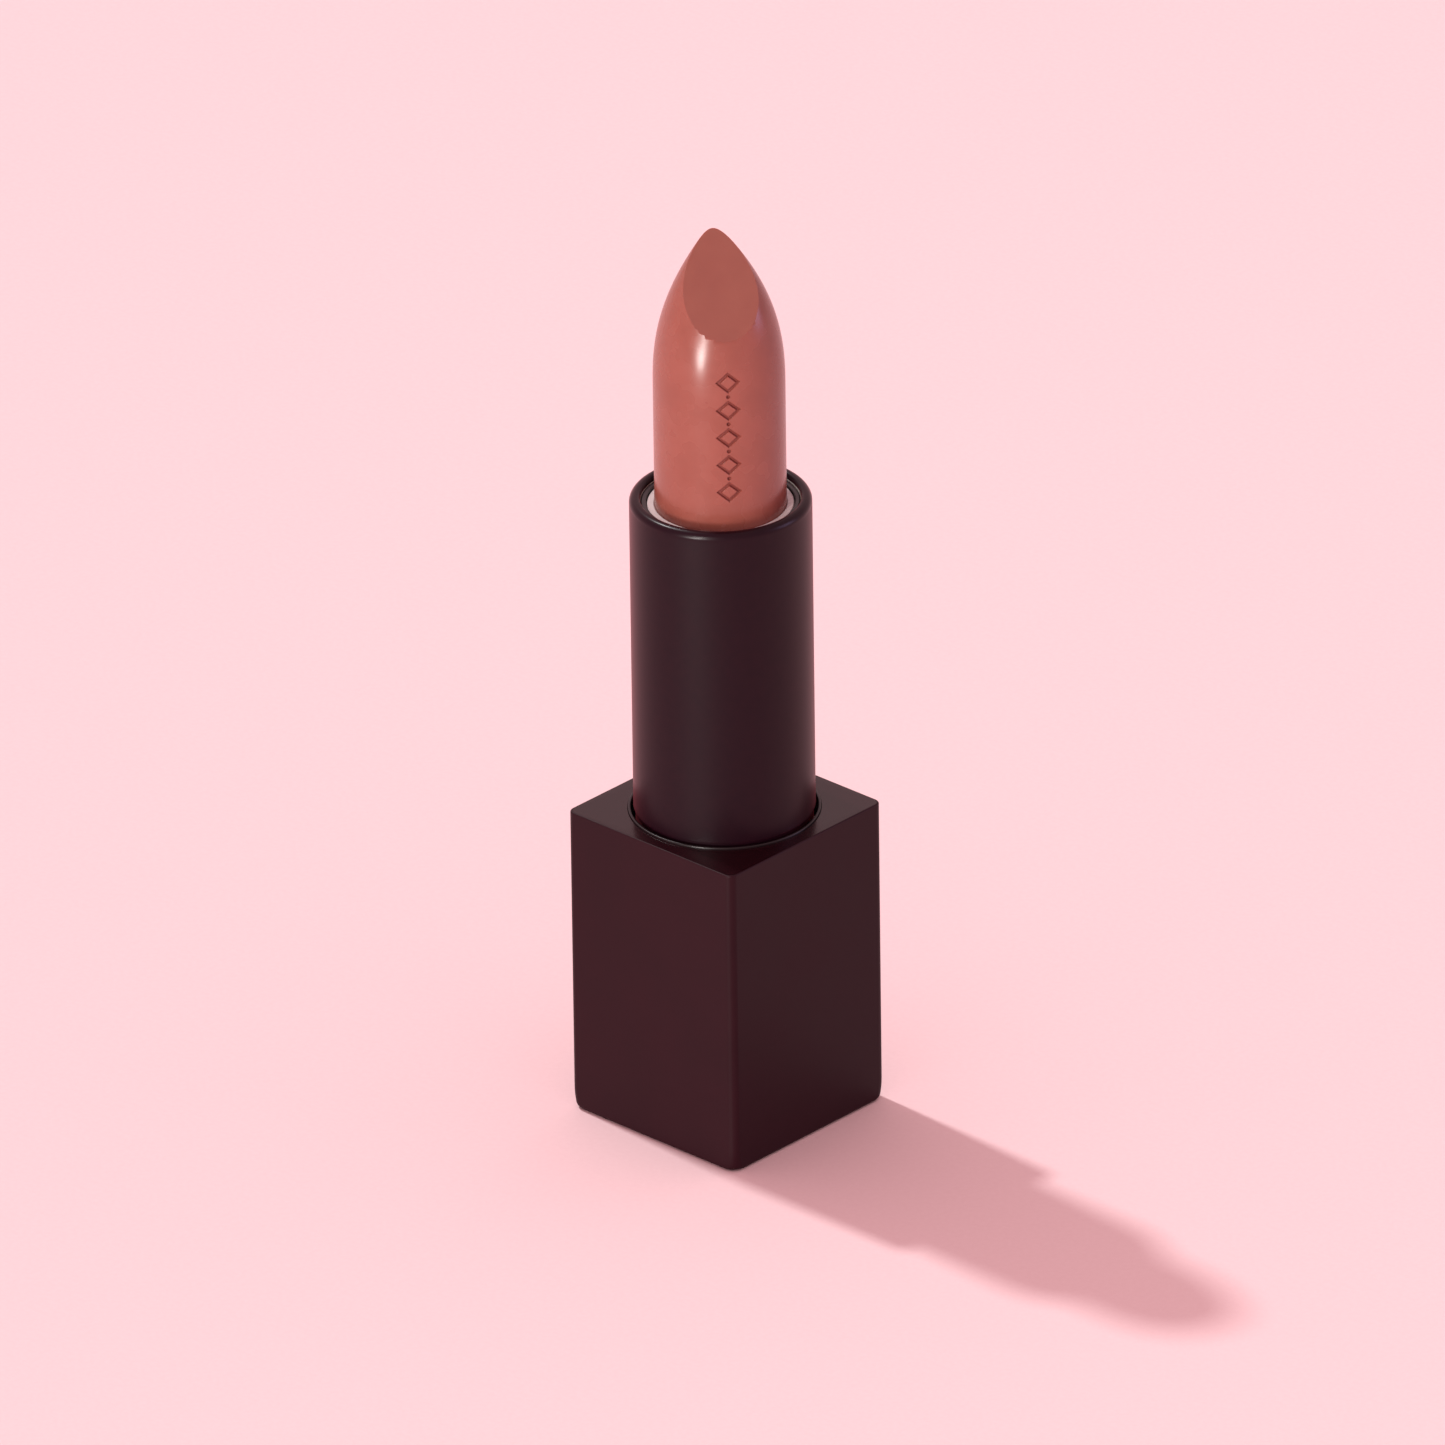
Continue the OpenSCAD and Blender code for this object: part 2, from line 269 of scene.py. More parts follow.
@dataclass(frozen=True)
class SoftTouch:
    """Soft-touch polyurethane paint on ABS, sprayed: a velvety near-black with a plum cast.

    The eye sees a broad, faint sheen, a very fine orange peel, and edges that handling has
    polished a little. The deck is the same paint, rubbed smooth by the cap.
    """

    name: str = "soft_touch_paint"
    shade: str = "#1c0209"
    tint: str = "#20030b"
    rough_flat: float = 0.5
    rough_edge: float = 0.34
    specular: float = 0.15
    peel_mm: float = 0.16
    peel_depth_mm: float = 0.0022
    cloud_mm: float = 7.0
    edge_mm: float = 0.5
    edge_end_mm: float = 0.1
    wander_low: float = -0.03
    wander_high: float = 0.04

    def build(self, half_mm: float) -> bpy.types.Material:
        """Makes the material.

        Args:
            half_mm: Half the width of the square base, where its upright faces are.

        Returns:
            The finished material.
        """
        material, tree, shader = new_material(self.name)
        coords = add_node(tree, "ShaderNodeTexCoord")
        cloud = add_node(
            tree, "ShaderNodeTexNoise",
            {"Scale": noise_scale(self.cloud_mm), "Detail": 5.0, "Roughness": 0.6},
            {"Vector": (coords, "Object")},
        )
        colour = add_node(tree, "ShaderNodeValToRGB", links={"Fac": (cloud, "Fac")})
        set_ramp(colour, [(NOISE_LOW, self.shade), (NOISE_HIGH, self.tint)])
        split = add_node(tree, "ShaderNodeSeparateXYZ", links={"Vector": (coords, "Object")})
        reach = [
            add_node(tree, "ShaderNodeMath", {"operation": "ABSOLUTE"}, {0: (split, axis)})
            for axis in ("X", "Y")
        ]
        both = add_node(
            tree, "ShaderNodeMath", {"operation": "MINIMUM"}, {0: (reach[0], 0), 1: (reach[1], 0)}
        )
        edge = add_node(
            tree, "ShaderNodeMapRange",
            {
                "From Min": (half_mm - self.edge_mm) * MM,
                "From Max": (half_mm - self.edge_end_mm) * MM,
                "To Min": self.rough_flat, "To Max": self.rough_edge,
                "interpolation_type": "SMOOTHSTEP",
            },
            {"Value": (both, 0)},
        )
        wander = add_node(
            tree, "ShaderNodeMapRange",
            {
                "From Min": NOISE_LOW, "From Max": NOISE_HIGH,
                "To Min": self.wander_low, "To Max": self.wander_high,
            },
            {"Value": (cloud, "Fac")},
        )
        rough = add_node(
            tree, "ShaderNodeMath", {"operation": "ADD"}, {0: (edge, "Result"), 1: (wander, "Result")}
        )
        peel = add_node(
            tree, "ShaderNodeTexNoise",
            {"Scale": noise_scale(self.peel_mm), "Detail": 3.0, "Roughness": 0.6},
            {"Vector": (coords, "Object")},
        )
        bump = add_node(
            tree, "ShaderNodeBump",
            {"Strength": 1.0, "Distance": self.peel_depth_mm * MM},
            {"Height": (peel, "Fac")},
        )
        shader.inputs["Specular IOR Level"].default_value = self.specular
        join_finish(tree, shader, colour, rough, bump)
        return material


@dataclass(frozen=True)
class SatinLacquer:
    """Satin UV lacquer on a moulded tube: near-black, with a long soft highlight down its side.

    The rolled rim is glossier than the wall, and the wall has a slight orange peel. Its sheen
    gives the tube a wine cast where the eye meets it at a grazing angle.
    """

    shade: str = "#14020a"
    tint: str = "#17030b"
    rough_wall: float = 0.4
    rough_rim: float = 0.28
    specular: float = 0.17
    sheen: float = 0.3
    sheen_tint: str = "#d45c68"
    sheen_rough: float = 0.3
    rim_mm: float = 0.9
    peel_mm: float = 0.9
    peel_depth_mm: float = 0.0012

    def build(self, top_mm: float) -> bpy.types.Material:
        """Makes the material.

        Args:
            top_mm: Height of the rim.

        Returns:
            The finished material.
        """
        material, tree, shader = new_material("satin_lacquer")
        coords = add_node(tree, "ShaderNodeTexCoord")
        peel = add_node(
            tree, "ShaderNodeTexNoise",
            {"Scale": noise_scale(self.peel_mm), "Detail": 3.0, "Roughness": 0.5},
            {"Vector": (coords, "Object")},
        )
        colour = add_node(tree, "ShaderNodeValToRGB", links={"Fac": (peel, "Fac")})
        set_ramp(colour, [(NOISE_LOW, self.shade), (NOISE_HIGH, self.tint)])
        split = add_node(tree, "ShaderNodeSeparateXYZ", links={"Vector": (coords, "Object")})
        rough = add_node(
            tree, "ShaderNodeMapRange",
            {
                "From Min": (top_mm - self.rim_mm) * MM, "From Max": (top_mm - self.rim_mm / 2) * MM,
                "To Min": self.rough_wall, "To Max": self.rough_rim,
            },
            {"Value": (split, "Z")},
        )
        bump = add_node(
            tree, "ShaderNodeBump",
            {"Strength": 1.0, "Distance": self.peel_depth_mm * MM},
            {"Height": (peel, "Fac")},
        )
        shader.inputs["Specular IOR Level"].default_value = self.specular
        shader.inputs["Sheen Weight"].default_value = self.sheen
        shader.inputs["Sheen Roughness"].default_value = self.sheen_rough
        shader.inputs["Sheen Tint"].default_value = srgb(self.sheen_tint)
        join_finish(tree, shader, colour, rough, bump)
        return material


@dataclass(frozen=True)
class PressedWax:
    """Cosmetic wax: a rose-brown that light enters a little way.

    The moulded sides have a soft gloss and faint upright drag marks from the mould. The cut face
    is duller and even. Light travels bleed_mm inside, times bleed_ratio for red, green and blue.
    """

    name: str
    shade: str
    tint: str
    rough_low: float
    rough_high: float
    drag_depth_mm: float
    drag_mm: float = 0.5
    drag_length: float = 0.05
    cloud_mm: float = 2.5
    bleed_mm: float = 0.5
    subsurface: float = 0.12
    bleed_ratio: tuple[float, float, float] = (1.0, 0.35, 0.25)
    ior: float = 1.45

    def build(self) -> bpy.types.Material:
        """Makes the material.

        Returns:
            The finished material.
        """
        material, tree, shader = new_material(self.name)
        coords = add_node(tree, "ShaderNodeTexCoord")
        pigment = add_node(
            tree, "ShaderNodeTexNoise",
            {"Scale": noise_scale(self.cloud_mm), "Detail": 2.0, "Roughness": 0.5},
            {"Vector": (coords, "Object")},
        )
        colour = add_node(tree, "ShaderNodeValToRGB", links={"Fac": (pigment, "Fac")})
        set_ramp(colour, [(NOISE_LOW, self.shade), (NOISE_HIGH, self.tint)])
        rough = add_node(
            tree, "ShaderNodeMapRange",
            {
                "From Min": NOISE_LOW, "From Max": NOISE_HIGH,
                "To Min": self.rough_low, "To Max": self.rough_high,
            },
            {"Value": (pigment, "Fac")},
        )
        upright = add_node(
            tree, "ShaderNodeMapping",
            {"Scale": (1.0, 1.0, self.drag_length)}, {"Vector": (coords, "Object")},
        )
        drag = add_node(
            tree, "ShaderNodeTexNoise",
            {"Scale": noise_scale(self.drag_mm), "Detail": 3.0},
            {"Vector": (upright, "Vector")},
        )
        bump = add_node(
            tree, "ShaderNodeBump",
            {"Strength": 1.0, "Distance": self.drag_depth_mm * MM},
            {"Height": (drag, "Fac")},
        )
        shader.inputs["IOR"].default_value = self.ior
        shader.inputs["Subsurface Weight"].default_value = self.subsurface
        shader.inputs["Subsurface Radius"].default_value = self.bleed_ratio
        shader.inputs["Subsurface Scale"].default_value = self.bleed_mm * MM
        join_finish(tree, shader, colour, rough, bump)
        return material


# ---------------------------------------------------------------- the finishes in use


# Soft-touch paint as sprayed: velvety, so the upright walls hardly shine
PAINT = SoftTouch()

# The same paint, rubbed smooth by the cap: the deck mirrors the barrel faintly
RUBBED_PAINT = SoftTouch(
    "rubbed_paint", "#1a0408", "#1d050a", rough_flat=0.2, rough_edge=0.2, specular=0.4
)

# ABS from a polished mould: a thin, even line of light round the barrel's foot
COLLAR_ABS = Moulded(
    "gloss_black_abs", "#120a0c", "#170d0f",
    rough_low=0.3, rough_high=0.36, grain_mm=0.4, grain_depth_mm=0.0006, specular=0.3,
)

BASE_FINISHES = {
    # ABS straight from the mould: a dull, even charcoal
    "base_insert": Moulded(
        "moulded_abs_core", "#1d1a1b", "#252122",
        rough_low=0.45, rough_high=0.6, grain_mm=0.3, grain_depth_mm=0.004,
    ),
    # Zinc plate on steel: a grey metal with a slightly clouded shine
    "base_weight": Moulded(
        "zinc_plated_steel", "#8d8f94", "#a9abb0",
        rough_low=0.3, rough_high=0.45, grain_mm=0.25, grain_depth_mm=0.003,
        mottle_mm=1.2, metallic=1.0,
    ),
    # Foam: matt and pitted, with no highlight
    "weight_pad": Moulded(
        "foam_pad", "#55555a", "#6c6c72",
        rough_low=0.85, rough_high=0.95, grain_mm=0.35, grain_depth_mm=0.06, mottle_mm=0.6,
    ),
    # ABS from a textured mould: a fine matt grain
    "bottom_plate": Moulded(
        "textured_abs", "#1b1012", "#231517",
        rough_low=0.5, rough_high=0.62, grain_mm=0.12, grain_depth_mm=0.006,
    ),
    # Coated label paper: off-white with a slight shine
    "shade_label": Moulded(
        "coated_paper", "#d5cfcb", "#dedad6",
        rough_low=0.4, rough_high=0.5, grain_mm=0.08, grain_depth_mm=0.002, mottle_mm=1.0,
    ),
    # Black acetal: smooth and waxy, with a soft highlight
    "inner_body": Moulded(
        "black_acetal", "#1a1012", "#221618",
        rough_low=0.28, rough_high=0.36, grain_mm=0.5, grain_depth_mm=0.001,
    ),
    # Silicone rubber: milky, as light enters a little way
    "brake_ring": Moulded(
        "silicone_rubber", "#b5afa8", "#c4beb7",
        rough_low=0.4, rough_high=0.5, grain_mm=0.3, grain_depth_mm=0.001, subsurface=0.3,
    ),
}

# Acetal without pigment: ivory, and faintly translucent
CAM_ACETAL = Moulded(
    "natural_acetal", "#d2ccc2", "#dcd7ce",
    rough_low=0.35, rough_high=0.45, grain_mm=0.4, grain_depth_mm=0.001, subsurface=0.2,
)

# Satin white ABS: a thin pale ring round the bullet's foot
CUP_ABS = Moulded(
    "satin_white_abs", "#c9bfbe", "#d3cac8",
    rough_low=0.25, rough_high=0.34, grain_mm=0.5, grain_depth_mm=0.001, subsurface=0.1,
)

# The order is that of the material indices on the bullet's faces
WAXES = (
    # Wax as it left its mould: a soft gloss
    PressedWax("moulded_wax", "#7f453b", "#85493f", rough_low=0.24, rough_high=0.3, drag_depth_mm=0.001),
    # Wax cut across: duller, with no drag marks
    PressedWax(
        "cut_wax", "#7b4136", "#7f4539",
        rough_low=0.58, rough_high=0.66, drag_depth_mm=0.0005, drag_length=1.0,
    ),
    # Wax pressed in by the die, in a darker colour: painted shade for the shade that falls in the
    # grooves
    PressedWax(
        "debossed_wax_painted_shade", "#692a22", "#702f26",
        rough_low=0.5, rough_high=0.6, drag_depth_mm=0.0005, drag_length=1.0,
    ),
)

# Uncoated paper: a pale matt pink with a faint tooth
PAPER = Moulded(
    "studio_paper", "#f9dadd", "#fbdde0",
    rough_low=0.8, rough_high=0.9, grain_mm=0.3, grain_depth_mm=0.008, mottle_mm=0.5,
)


# ---------------------------------------------------------------- mesh helpers


def box_mm(node: str) -> tuple[Vector, Vector]:
    """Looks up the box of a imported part.

    Args:
        node: The part's node name.

    Returns:
        Its lowest and highest corners, in millimetres.
    """
    low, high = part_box(node)
    return low / MM, high / MM


def spin_round(
    mesh: bmesh.types.BMesh,
    corners: list[bmesh.types.BMVert],
    sides: list[bmesh.types.BMEdge],
) -> None:
    """Spins a line of edges once round the Z axis.

    Args:
        mesh: The mesh that holds the line.
        corners: The line's vertices.
        sides: Its edges.
    """
    bmesh.ops.spin(
        mesh, geom=corners + sides, cent=(0, 0, 0), axis=(0, 0, 1),
        angle=FULL_TURN, steps=LATHE_STEPS, use_merge=True,
    )


def lathe(outline: Sequence[Point]) -> bmesh.types.BMesh:
    """Turns a closed outline round the Z axis.

    Args:
        outline: Radius and height of each corner, in millimetres, in order round the section.

    Returns:
        A closed ring of that section.
    """
    mesh = bmesh.new()
    corners = [mesh.verts.new((radius, 0.0, height)) for radius, height in outline]
    sides = [mesh.edges.new(pair) for pair in zip(corners, corners[1:] + corners[:1])]
    spin_round(mesh, corners, sides)
    return mesh


def round_rings(mesh: bmesh.types.BMesh, rings: Iterable[tuple[Point, float]]) -> None:
    """Rounds the circular edges of a turned shape.

    Args:
        mesh: The turned shape.
        rings: Radius and height of each circular edge, with the size of its rounding.
    """
    for (radius, height), size in rings:
        edges = [
            edge for edge in mesh.edges
            if all(
                abs(vert.co.xy.length - radius) < RING_TOLERANCE_MM
                and abs(vert.co.z - height) < RING_TOLERANCE_MM
                for vert in edge.verts
            )
        ]
        bmesh.ops.bevel(
            mesh, geom=edges, offset=size, offset_type="OFFSET", segments=ARC_STEPS,
            profile=0.5, affect="EDGES", material=-1,
        )


def new_edges(mesh: bmesh.types.BMesh, make: Callable[[], None]) -> list[bmesh.types.BMEdge]:
    """Runs a function and finds the edges that it added.

    Args:
        mesh: The mesh that it adds to.
        make: The function.

    Returns:
        The added edges.
    """
    before = set(mesh.edges)
    make()
    return [edge for edge in mesh.edges if edge not in before]


def square_loop(
    mesh: bmesh.types.BMesh, half: float, corner: float, height: float, corner_steps: int
) -> list[bmesh.types.BMEdge]:
    """Adds a level square outline with rounded corners.

    Args:
        mesh: The mesh that takes the outline.
        half: Half the square's width.
        corner: Radius of its corners.
        height: Its height.
        corner_steps: Segments on each corner.

    Returns:
        The outline's edges.
    """
    def make() -> None:
        made = bmesh.ops.create_grid(
            mesh, x_segments=1, y_segments=1, size=half, matrix=Matrix.Translation((0, 0, height))
        )
        faces = {face for vert in made["verts"] for face in vert.link_faces}
        bmesh.ops.bevel(
            mesh, geom=made["verts"], offset=corner, offset_type="OFFSET", segments=corner_steps,
            profile=0.5, affect="VERTICES", material=-1,
        )
        level = [face for face in mesh.faces if face in faces or len(face.verts) > 4 * corner_steps]
        bmesh.ops.delete(mesh, geom=level, context="FACES_ONLY")

    return new_edges(mesh, make)


def circle_loop(
    mesh: bmesh.types.BMesh, radius: float, height: float, steps: int
) -> list[bmesh.types.BMEdge]:
    """Adds a level circle.

    Args:
        mesh: The mesh that takes the circle.
        radius: Its radius.
        height: Its height.
        steps: The number of its edges.

    Returns:
        The circle's edges.
    """
    def make() -> None:
        bmesh.ops.create_circle(
            mesh, segments=steps, radius=radius, cap_ends=False,
            matrix=Matrix.Translation((0, 0, height)) @ Matrix.Rotation(math.pi / steps, 4, "Z"),
        )

    return new_edges(mesh, make)


def assign(obj: bpy.types.Object, material: bpy.types.Material) -> None:
    """Gives an object one material in place of its own.

    Args:
        obj: The object.
        material: The material.
    """
    obj.data.materials.clear()
    obj.data.materials.append(material)


def dress(node: str, finish: Moulded) -> None:
    """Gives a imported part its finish.

    Args:
        node: The part's node name.
        finish: The finish.
    """
    assign(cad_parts[node], finish.build())
    LOG.info("%s: dressed as %s", node, finish.name)


def finish_piece(
    mesh: bmesh.types.BMesh,
    name: str,
    body: Body,
    materials: Sequence[bpy.types.Material],
    replaced: Sequence[str] = (),
) -> bpy.types.Object:
    """Turns a shape to metres and makes it a piece of the case.

    Args:
        mesh: The shape, in millimetres. It is freed.
        name: The piece's name.
        body: The body that it rides on.
        materials: Its materials, in the order of their indices on the faces.
        replaced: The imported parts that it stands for.

    Returns:
        The new object.
    """
    bmesh.ops.remove_doubles(mesh, verts=mesh.verts, dist=WELD_MM)
    bmesh.ops.recalc_face_normals(mesh, faces=mesh.faces)
    bmesh.ops.scale(mesh, vec=(MM, MM, MM), verts=mesh.verts)
    data = bpy.data.meshes.new(name)
    mesh.to_mesh(data)
    mesh.free()
    data.shade_smooth()
    data.set_sharp_from_angle(angle=SHARP_EDGE)
    obj = bpy.data.objects.new(name, data)
    bpy.context.scene.collection.objects.link(obj)
    weighted = obj.modifiers.new("even_shading", "WEIGHTED_NORMAL")
    weighted.keep_sharp = True
    for material in materials:
        data.materials.append(material)
    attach(obj, body.value)
    if replaced:
        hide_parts(*replaced)
    LOG.info("%s: %d faces on body %s", name, len(data.polygons), body.value)
    return obj


# ---------------------------------------------------------------- the base


@dataclass
class Base:
    """The square base: painted shell, collar ring, and the parts that the shell hides."""

    wall_mm: float = 1.1
    deck_mm: float = 1.2
    upright_mm: float = 0.8
    foot_corner_mm: float = 1.4
    foot_blend_mm: float = 2.2
    foot_round_mm: float = 0.5
    top_round_mm: float = 0.14
    top_steps: int = 3
    deck_bore_mm: float = 8.9
    bore_edge_mm: float = 0.03
    collar_width_mm: float = 0.28
    cavity_corner_mm: float = 0.5
    corner_steps: int = 23
    lip_round_mm: float = 0.1

    def build(self) -> None:
        """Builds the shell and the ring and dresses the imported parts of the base."""
        self.build_shell()
        self.build_collar()
        self.dress_inside()

    def corner_at(self, height: float) -> float:
        """Works out the radius of the upright edges, which grows towards the foot.

        Args:
            height: Height above the table.

        Returns:
            The radius there.
        """
        share = max(0.0, 1 - height / self.foot_blend_mm)
        return self.upright_mm + (self.foot_corner_mm - self.upright_mm) * share ** 2

    def build_shell(self) -> bpy.types.Object:
        """Lofts the shell from the foot, up its outside, over the deck and down its cavity.

        Returns:
            The shell.
        """
        low, high = box_mm("base_shell")
        half, top = high.x, high.z
        deck_low = top - self.deck_mm
        rim = 4 * (self.corner_steps + 1)
        mesh = bmesh.new()
        loops = []

        def square(width: float, corner: float, height: float) -> None:
            loops.append(square_loop(mesh, width, corner, height, self.corner_steps))

        def circle(radius: float, height: float) -> None:
            loops.append(circle_loop(mesh, radius, height, rim))

        square(half - self.wall_mm, self.cavity_corner_mm, low.z)
        for step in range(ARC_STEPS + 1):
            turn = math.pi / 2 * step / ARC_STEPS
            inset = self.foot_round_mm * (1 - math.sin(turn))
            height = low.z + self.foot_round_mm * (1 - math.cos(turn))
            square(half - inset, self.corner_at(height), height)
        for step in range(1, ARC_STEPS + 1):
            height = self.foot_round_mm + (self.foot_blend_mm - self.foot_round_mm) * step / ARC_STEPS
            square(half, self.corner_at(height), height)
        for step in range(self.top_steps + 1):
            turn = math.pi / 2 * step / self.top_steps
            inset = self.top_round_mm * (1 - math.cos(turn))
            square(half - inset, self.upright_mm, top - self.top_round_mm * (1 - math.sin(turn)))
        circle(self.deck_bore_mm + self.bore_edge_mm, top)
        circle(self.deck_bore_mm, top - self.bore_edge_mm)
        circle(self.deck_bore_mm, deck_low)
        square(half - self.wall_mm, self.cavity_corner_mm, deck_low)
        for lower, upper in zip(loops, loops[1:] + loops[:1]):
            bmesh.ops.bridge_loops(mesh, edges=lower + upper)
        for face in mesh.faces:
            if all(abs(vert.co.z - top) < RING_TOLERANCE_MM for vert in face.verts):
                face.material_index = 1
        paints = [PAINT.build(half), RUBBED_PAINT.build(half)]
        return finish_piece(mesh, "base_shell_skin", Body.BASE, paints, ["base_shell"])

    def build_collar(self) -> bpy.types.Object:
        """Turns the thin gloss ring round the barrel's foot.

        Returns:
            The ring.
        """
        low, high = box_mm("collar_ring")
        inner, outer = high.x - self.collar_width_mm, high.x
        mesh = lathe([(inner, low.z), (outer, low.z), (outer, high.z), (inner, high.z)])
        round_rings(mesh, [((outer, high.z), self.lip_round_mm), ((inner, high.z), self.lip_round_mm)])
        gloss = COLLAR_ABS.build()
        return finish_piece(mesh, "collar_ring_trim", Body.BASE, [gloss], ["collar_ring"])

    def dress_inside(self) -> None:
        """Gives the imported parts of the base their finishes."""
        for node, finish in BASE_FINISHES.items():
            dress(node, finish)


# ---------------------------------------------------------------- the barrel


@dataclass
class Barrel:
    """The turning group: the lacquered tube with its rolled rim, and the cam sleeve inside it."""

    wall_mm: float = 0.34
    lip_mm: float = 1.0
    lip_thick_mm: float = 0.6
    rim_outer_round_mm: float = 0.65
    rim_inner_round_mm: float = 0.3
    foot_round_mm: float = 0.06
    relief_mm: float = 0.18
    relief_rise_mm: float = 0.4

    def build(self) -> None:
        """Builds the tube and dresses the cam sleeve."""
        self.build_tube()
        dress("cam_sleeve", CAM_ACETAL)

    def build_tube(self) -> bpy.types.Object:
        """Turns the tube with its lip, slimmer where it passes the collar ring.

        Returns:
            The tube.
        """
        low, high = box_mm("barrel_shell")
        outer, top = high.x, high.z
        bore, mouth, slim = outer - self.wall_mm, outer - self.lip_mm, outer - self.relief_mm
        step = box_mm("base_shell")[1].z + self.relief_rise_mm
        mesh = lathe([
            (slim, low.z), (slim, step), (outer, step), (outer, top), (mouth, top),
            (mouth, top - self.lip_thick_mm), (bore, top - self.lip_thick_mm), (bore, low.z),
        ])
        round_rings(mesh, [
            ((outer, top), self.rim_outer_round_mm),
            ((mouth, top), self.rim_inner_round_mm),
            ((outer, step), self.foot_round_mm),
            ((slim, low.z), self.foot_round_mm),
        ])
        lacquer = SatinLacquer().build(top)
        return finish_piece(mesh, "barrel_tube", Body.BARREL, [lacquer], ["barrel_shell"])


# ---------------------------------------------------------------- the bullet and its cup


class Mark(Enum):
    """The shapes of the plain ornament that is pressed into the bullet."""

    LOZENGE = "lozenge"
    DOT = "dot"


@dataclass
class Bullet:
    """The wax stick with its leaning nose, its cut face and a pressed band of plain shapes."""

    turn: float = math.radians(51)
    face_tilt: float = math.radians(42.6)
    shaft_mm: float = 11.6
    nose_mm: float = 14.5
    lean_mm: float = 2.7
    face_depth_mm: float = 0.6
    nose_round: float = 2.3
    nose_taper: float = 0.84
    lean_power: float = 5.0
    tip_crowding: float = 1.6
    nose_rings: int = 48
    face_weld_mm: float = 0.02
    mark_low_mm: float = 1.9
    mark_high_mm: float = 15.4
    mark_count: int = 5
    mark_half_mm: float = 0.95
    mark_squash: float = 0.86
    dot_ratio: float = 1.3
    stroke_mm: float = 0.13
    mark_margin_mm: float = 0.3
    press_mm: float = 0.2
    wall_mm: float = 0.07
    cell_mm: float = 0.3
    fine_cuts: int = 5

    def __post_init__(self) -> None:
        """Takes the foot, the radius and the tube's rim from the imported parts."""
        low, high = box_mm("bullet")
        self.foot = low.z
        self.radius = (high.x - low.x) / 2
        self.rim = box_mm("barrel_shell")[1].z
        self.start = self.rim + self.shaft_mm

    def build(self) -> bpy.types.Object:
        """Builds the bullet.

        Returns:
            The bullet.
        """
        mesh = self.turn_stick()
        self.cut_face(mesh)
        self.press_marks(mesh)
        bmesh.ops.rotate(
            mesh, verts=mesh.verts, cent=(0, 0, 0), matrix=Matrix.Rotation(self.turn, 3, "Z")
        )
        materials = [wax.build() for wax in WAXES]
        return finish_piece(mesh, "wax_bullet", Body.CARRIER, materials, ["bullet"])

    def share(self, height: float) -> float:
        """Works out how far up the nose a height is.

        Args:
            height: The height.

        Returns:
            0 at the nose's start and below, to 1 at its uncut point.
        """
        return min(max((height - self.start) / self.nose_mm, 0.0), 1.0)

    def radius_at(self, height: float) -> float:
        """Works out the stick's radius.

        Args:
            height: The height.

        Returns:
            The radius there.
        """
        return self.radius * (1 - self.share(height) ** self.nose_round) ** self.nose_taper

    def centre_at(self, height: float) -> float:
        """Works out how far the nose's centre leans back.

        Args:
            height: The height.

        Returns:
            The distance there.
        """
        return self.lean_mm * self.share(height) ** self.lean_power

    def turn_stick(self) -> bmesh.types.BMesh:
        """Turns the stick and leans its nose.

        Returns:
            The uncut stick.
        """
        mark_low, mark_high = self.rim + self.mark_low_mm, self.rim + self.mark_high_mm
        cells = round((mark_high - mark_low) / self.cell_mm)
        heights = [self.foot] + [mark_low + (mark_high - mark_low) * i / cells for i in range(cells + 1)]
        heights += [
            height for height in (
                self.start + self.nose_mm * (1 - (1 - i / self.nose_rings) ** self.tip_crowding)
                for i in range(self.nose_rings)
            ) if height > mark_high + self.cell_mm / 2
        ]
        points = [(0.0, self.foot)] + [(self.radius_at(z), z) for z in heights]
        points.append((0.0, self.start + self.nose_mm))
        mesh = bmesh.new()
        chain = [mesh.verts.new((0.0, radius, height)) for radius, height in points]
        sides = [mesh.edges.new(pair) for pair in zip(chain, chain[1:])]
        spin_round(mesh, chain, sides)
        bmesh.ops.remove_doubles(mesh, verts=mesh.verts, dist=WELD_MM)
        for vert in mesh.verts:
            vert.co.y += self.centre_at(vert.co.z)
        return mesh

    def cut_face(self, mesh: bmesh.types.BMesh) -> None:
        """Cuts the slanted face, with a crisp edge.

        Args:
            mesh: The uncut stick, changed in place.
        """
        normal = Vector((0, -math.sin(self.face_tilt), math.cos(self.face_tilt)))
        point = Vector((0, self.lean_mm, self.start + self.nose_mm)) - normal * self.face_depth_mm
        bmesh.ops.bisect_plane(
            mesh, geom=mesh.verts[:] + mesh.edges[:] + mesh.faces[:],
            plane_co=point, plane_no=normal, clear_outer=True, dist=WELD_MM,
        )
        rim_verts = list({vert for edge in mesh.edges if edge.is_boundary for vert in edge.verts})
        bmesh.ops.remove_doubles(mesh, verts=rim_verts, dist=self.face_weld_mm)
        rim = [edge for edge in mesh.edges if edge.is_boundary]
        filled = bmesh.ops.holes_fill(mesh, edges=rim, sides=0)
        for flat in filled["faces"]:
            flat.material_index = 1

    def marks(self) -> list[tuple[Mark, float]]:
        """The ornament's shapes from the lowest up.

        Returns:
            Each shape with the height of its middle.
        """
        low = self.rim + self.mark_low_mm + self.mark_half_mm + self.mark_margin_mm
        high = self.rim + self.mark_high_mm - self.mark_half_mm - self.mark_margin_mm
        pitch = (high - low) / (self.mark_count - 1)
        lozenges = [(Mark.LOZENGE, low + pitch * i) for i in range(self.mark_count)]
        dots = [(Mark.DOT, low + pitch * (i + 0.5)) for i in range(self.mark_count - 1)]
        return lozenges + dots

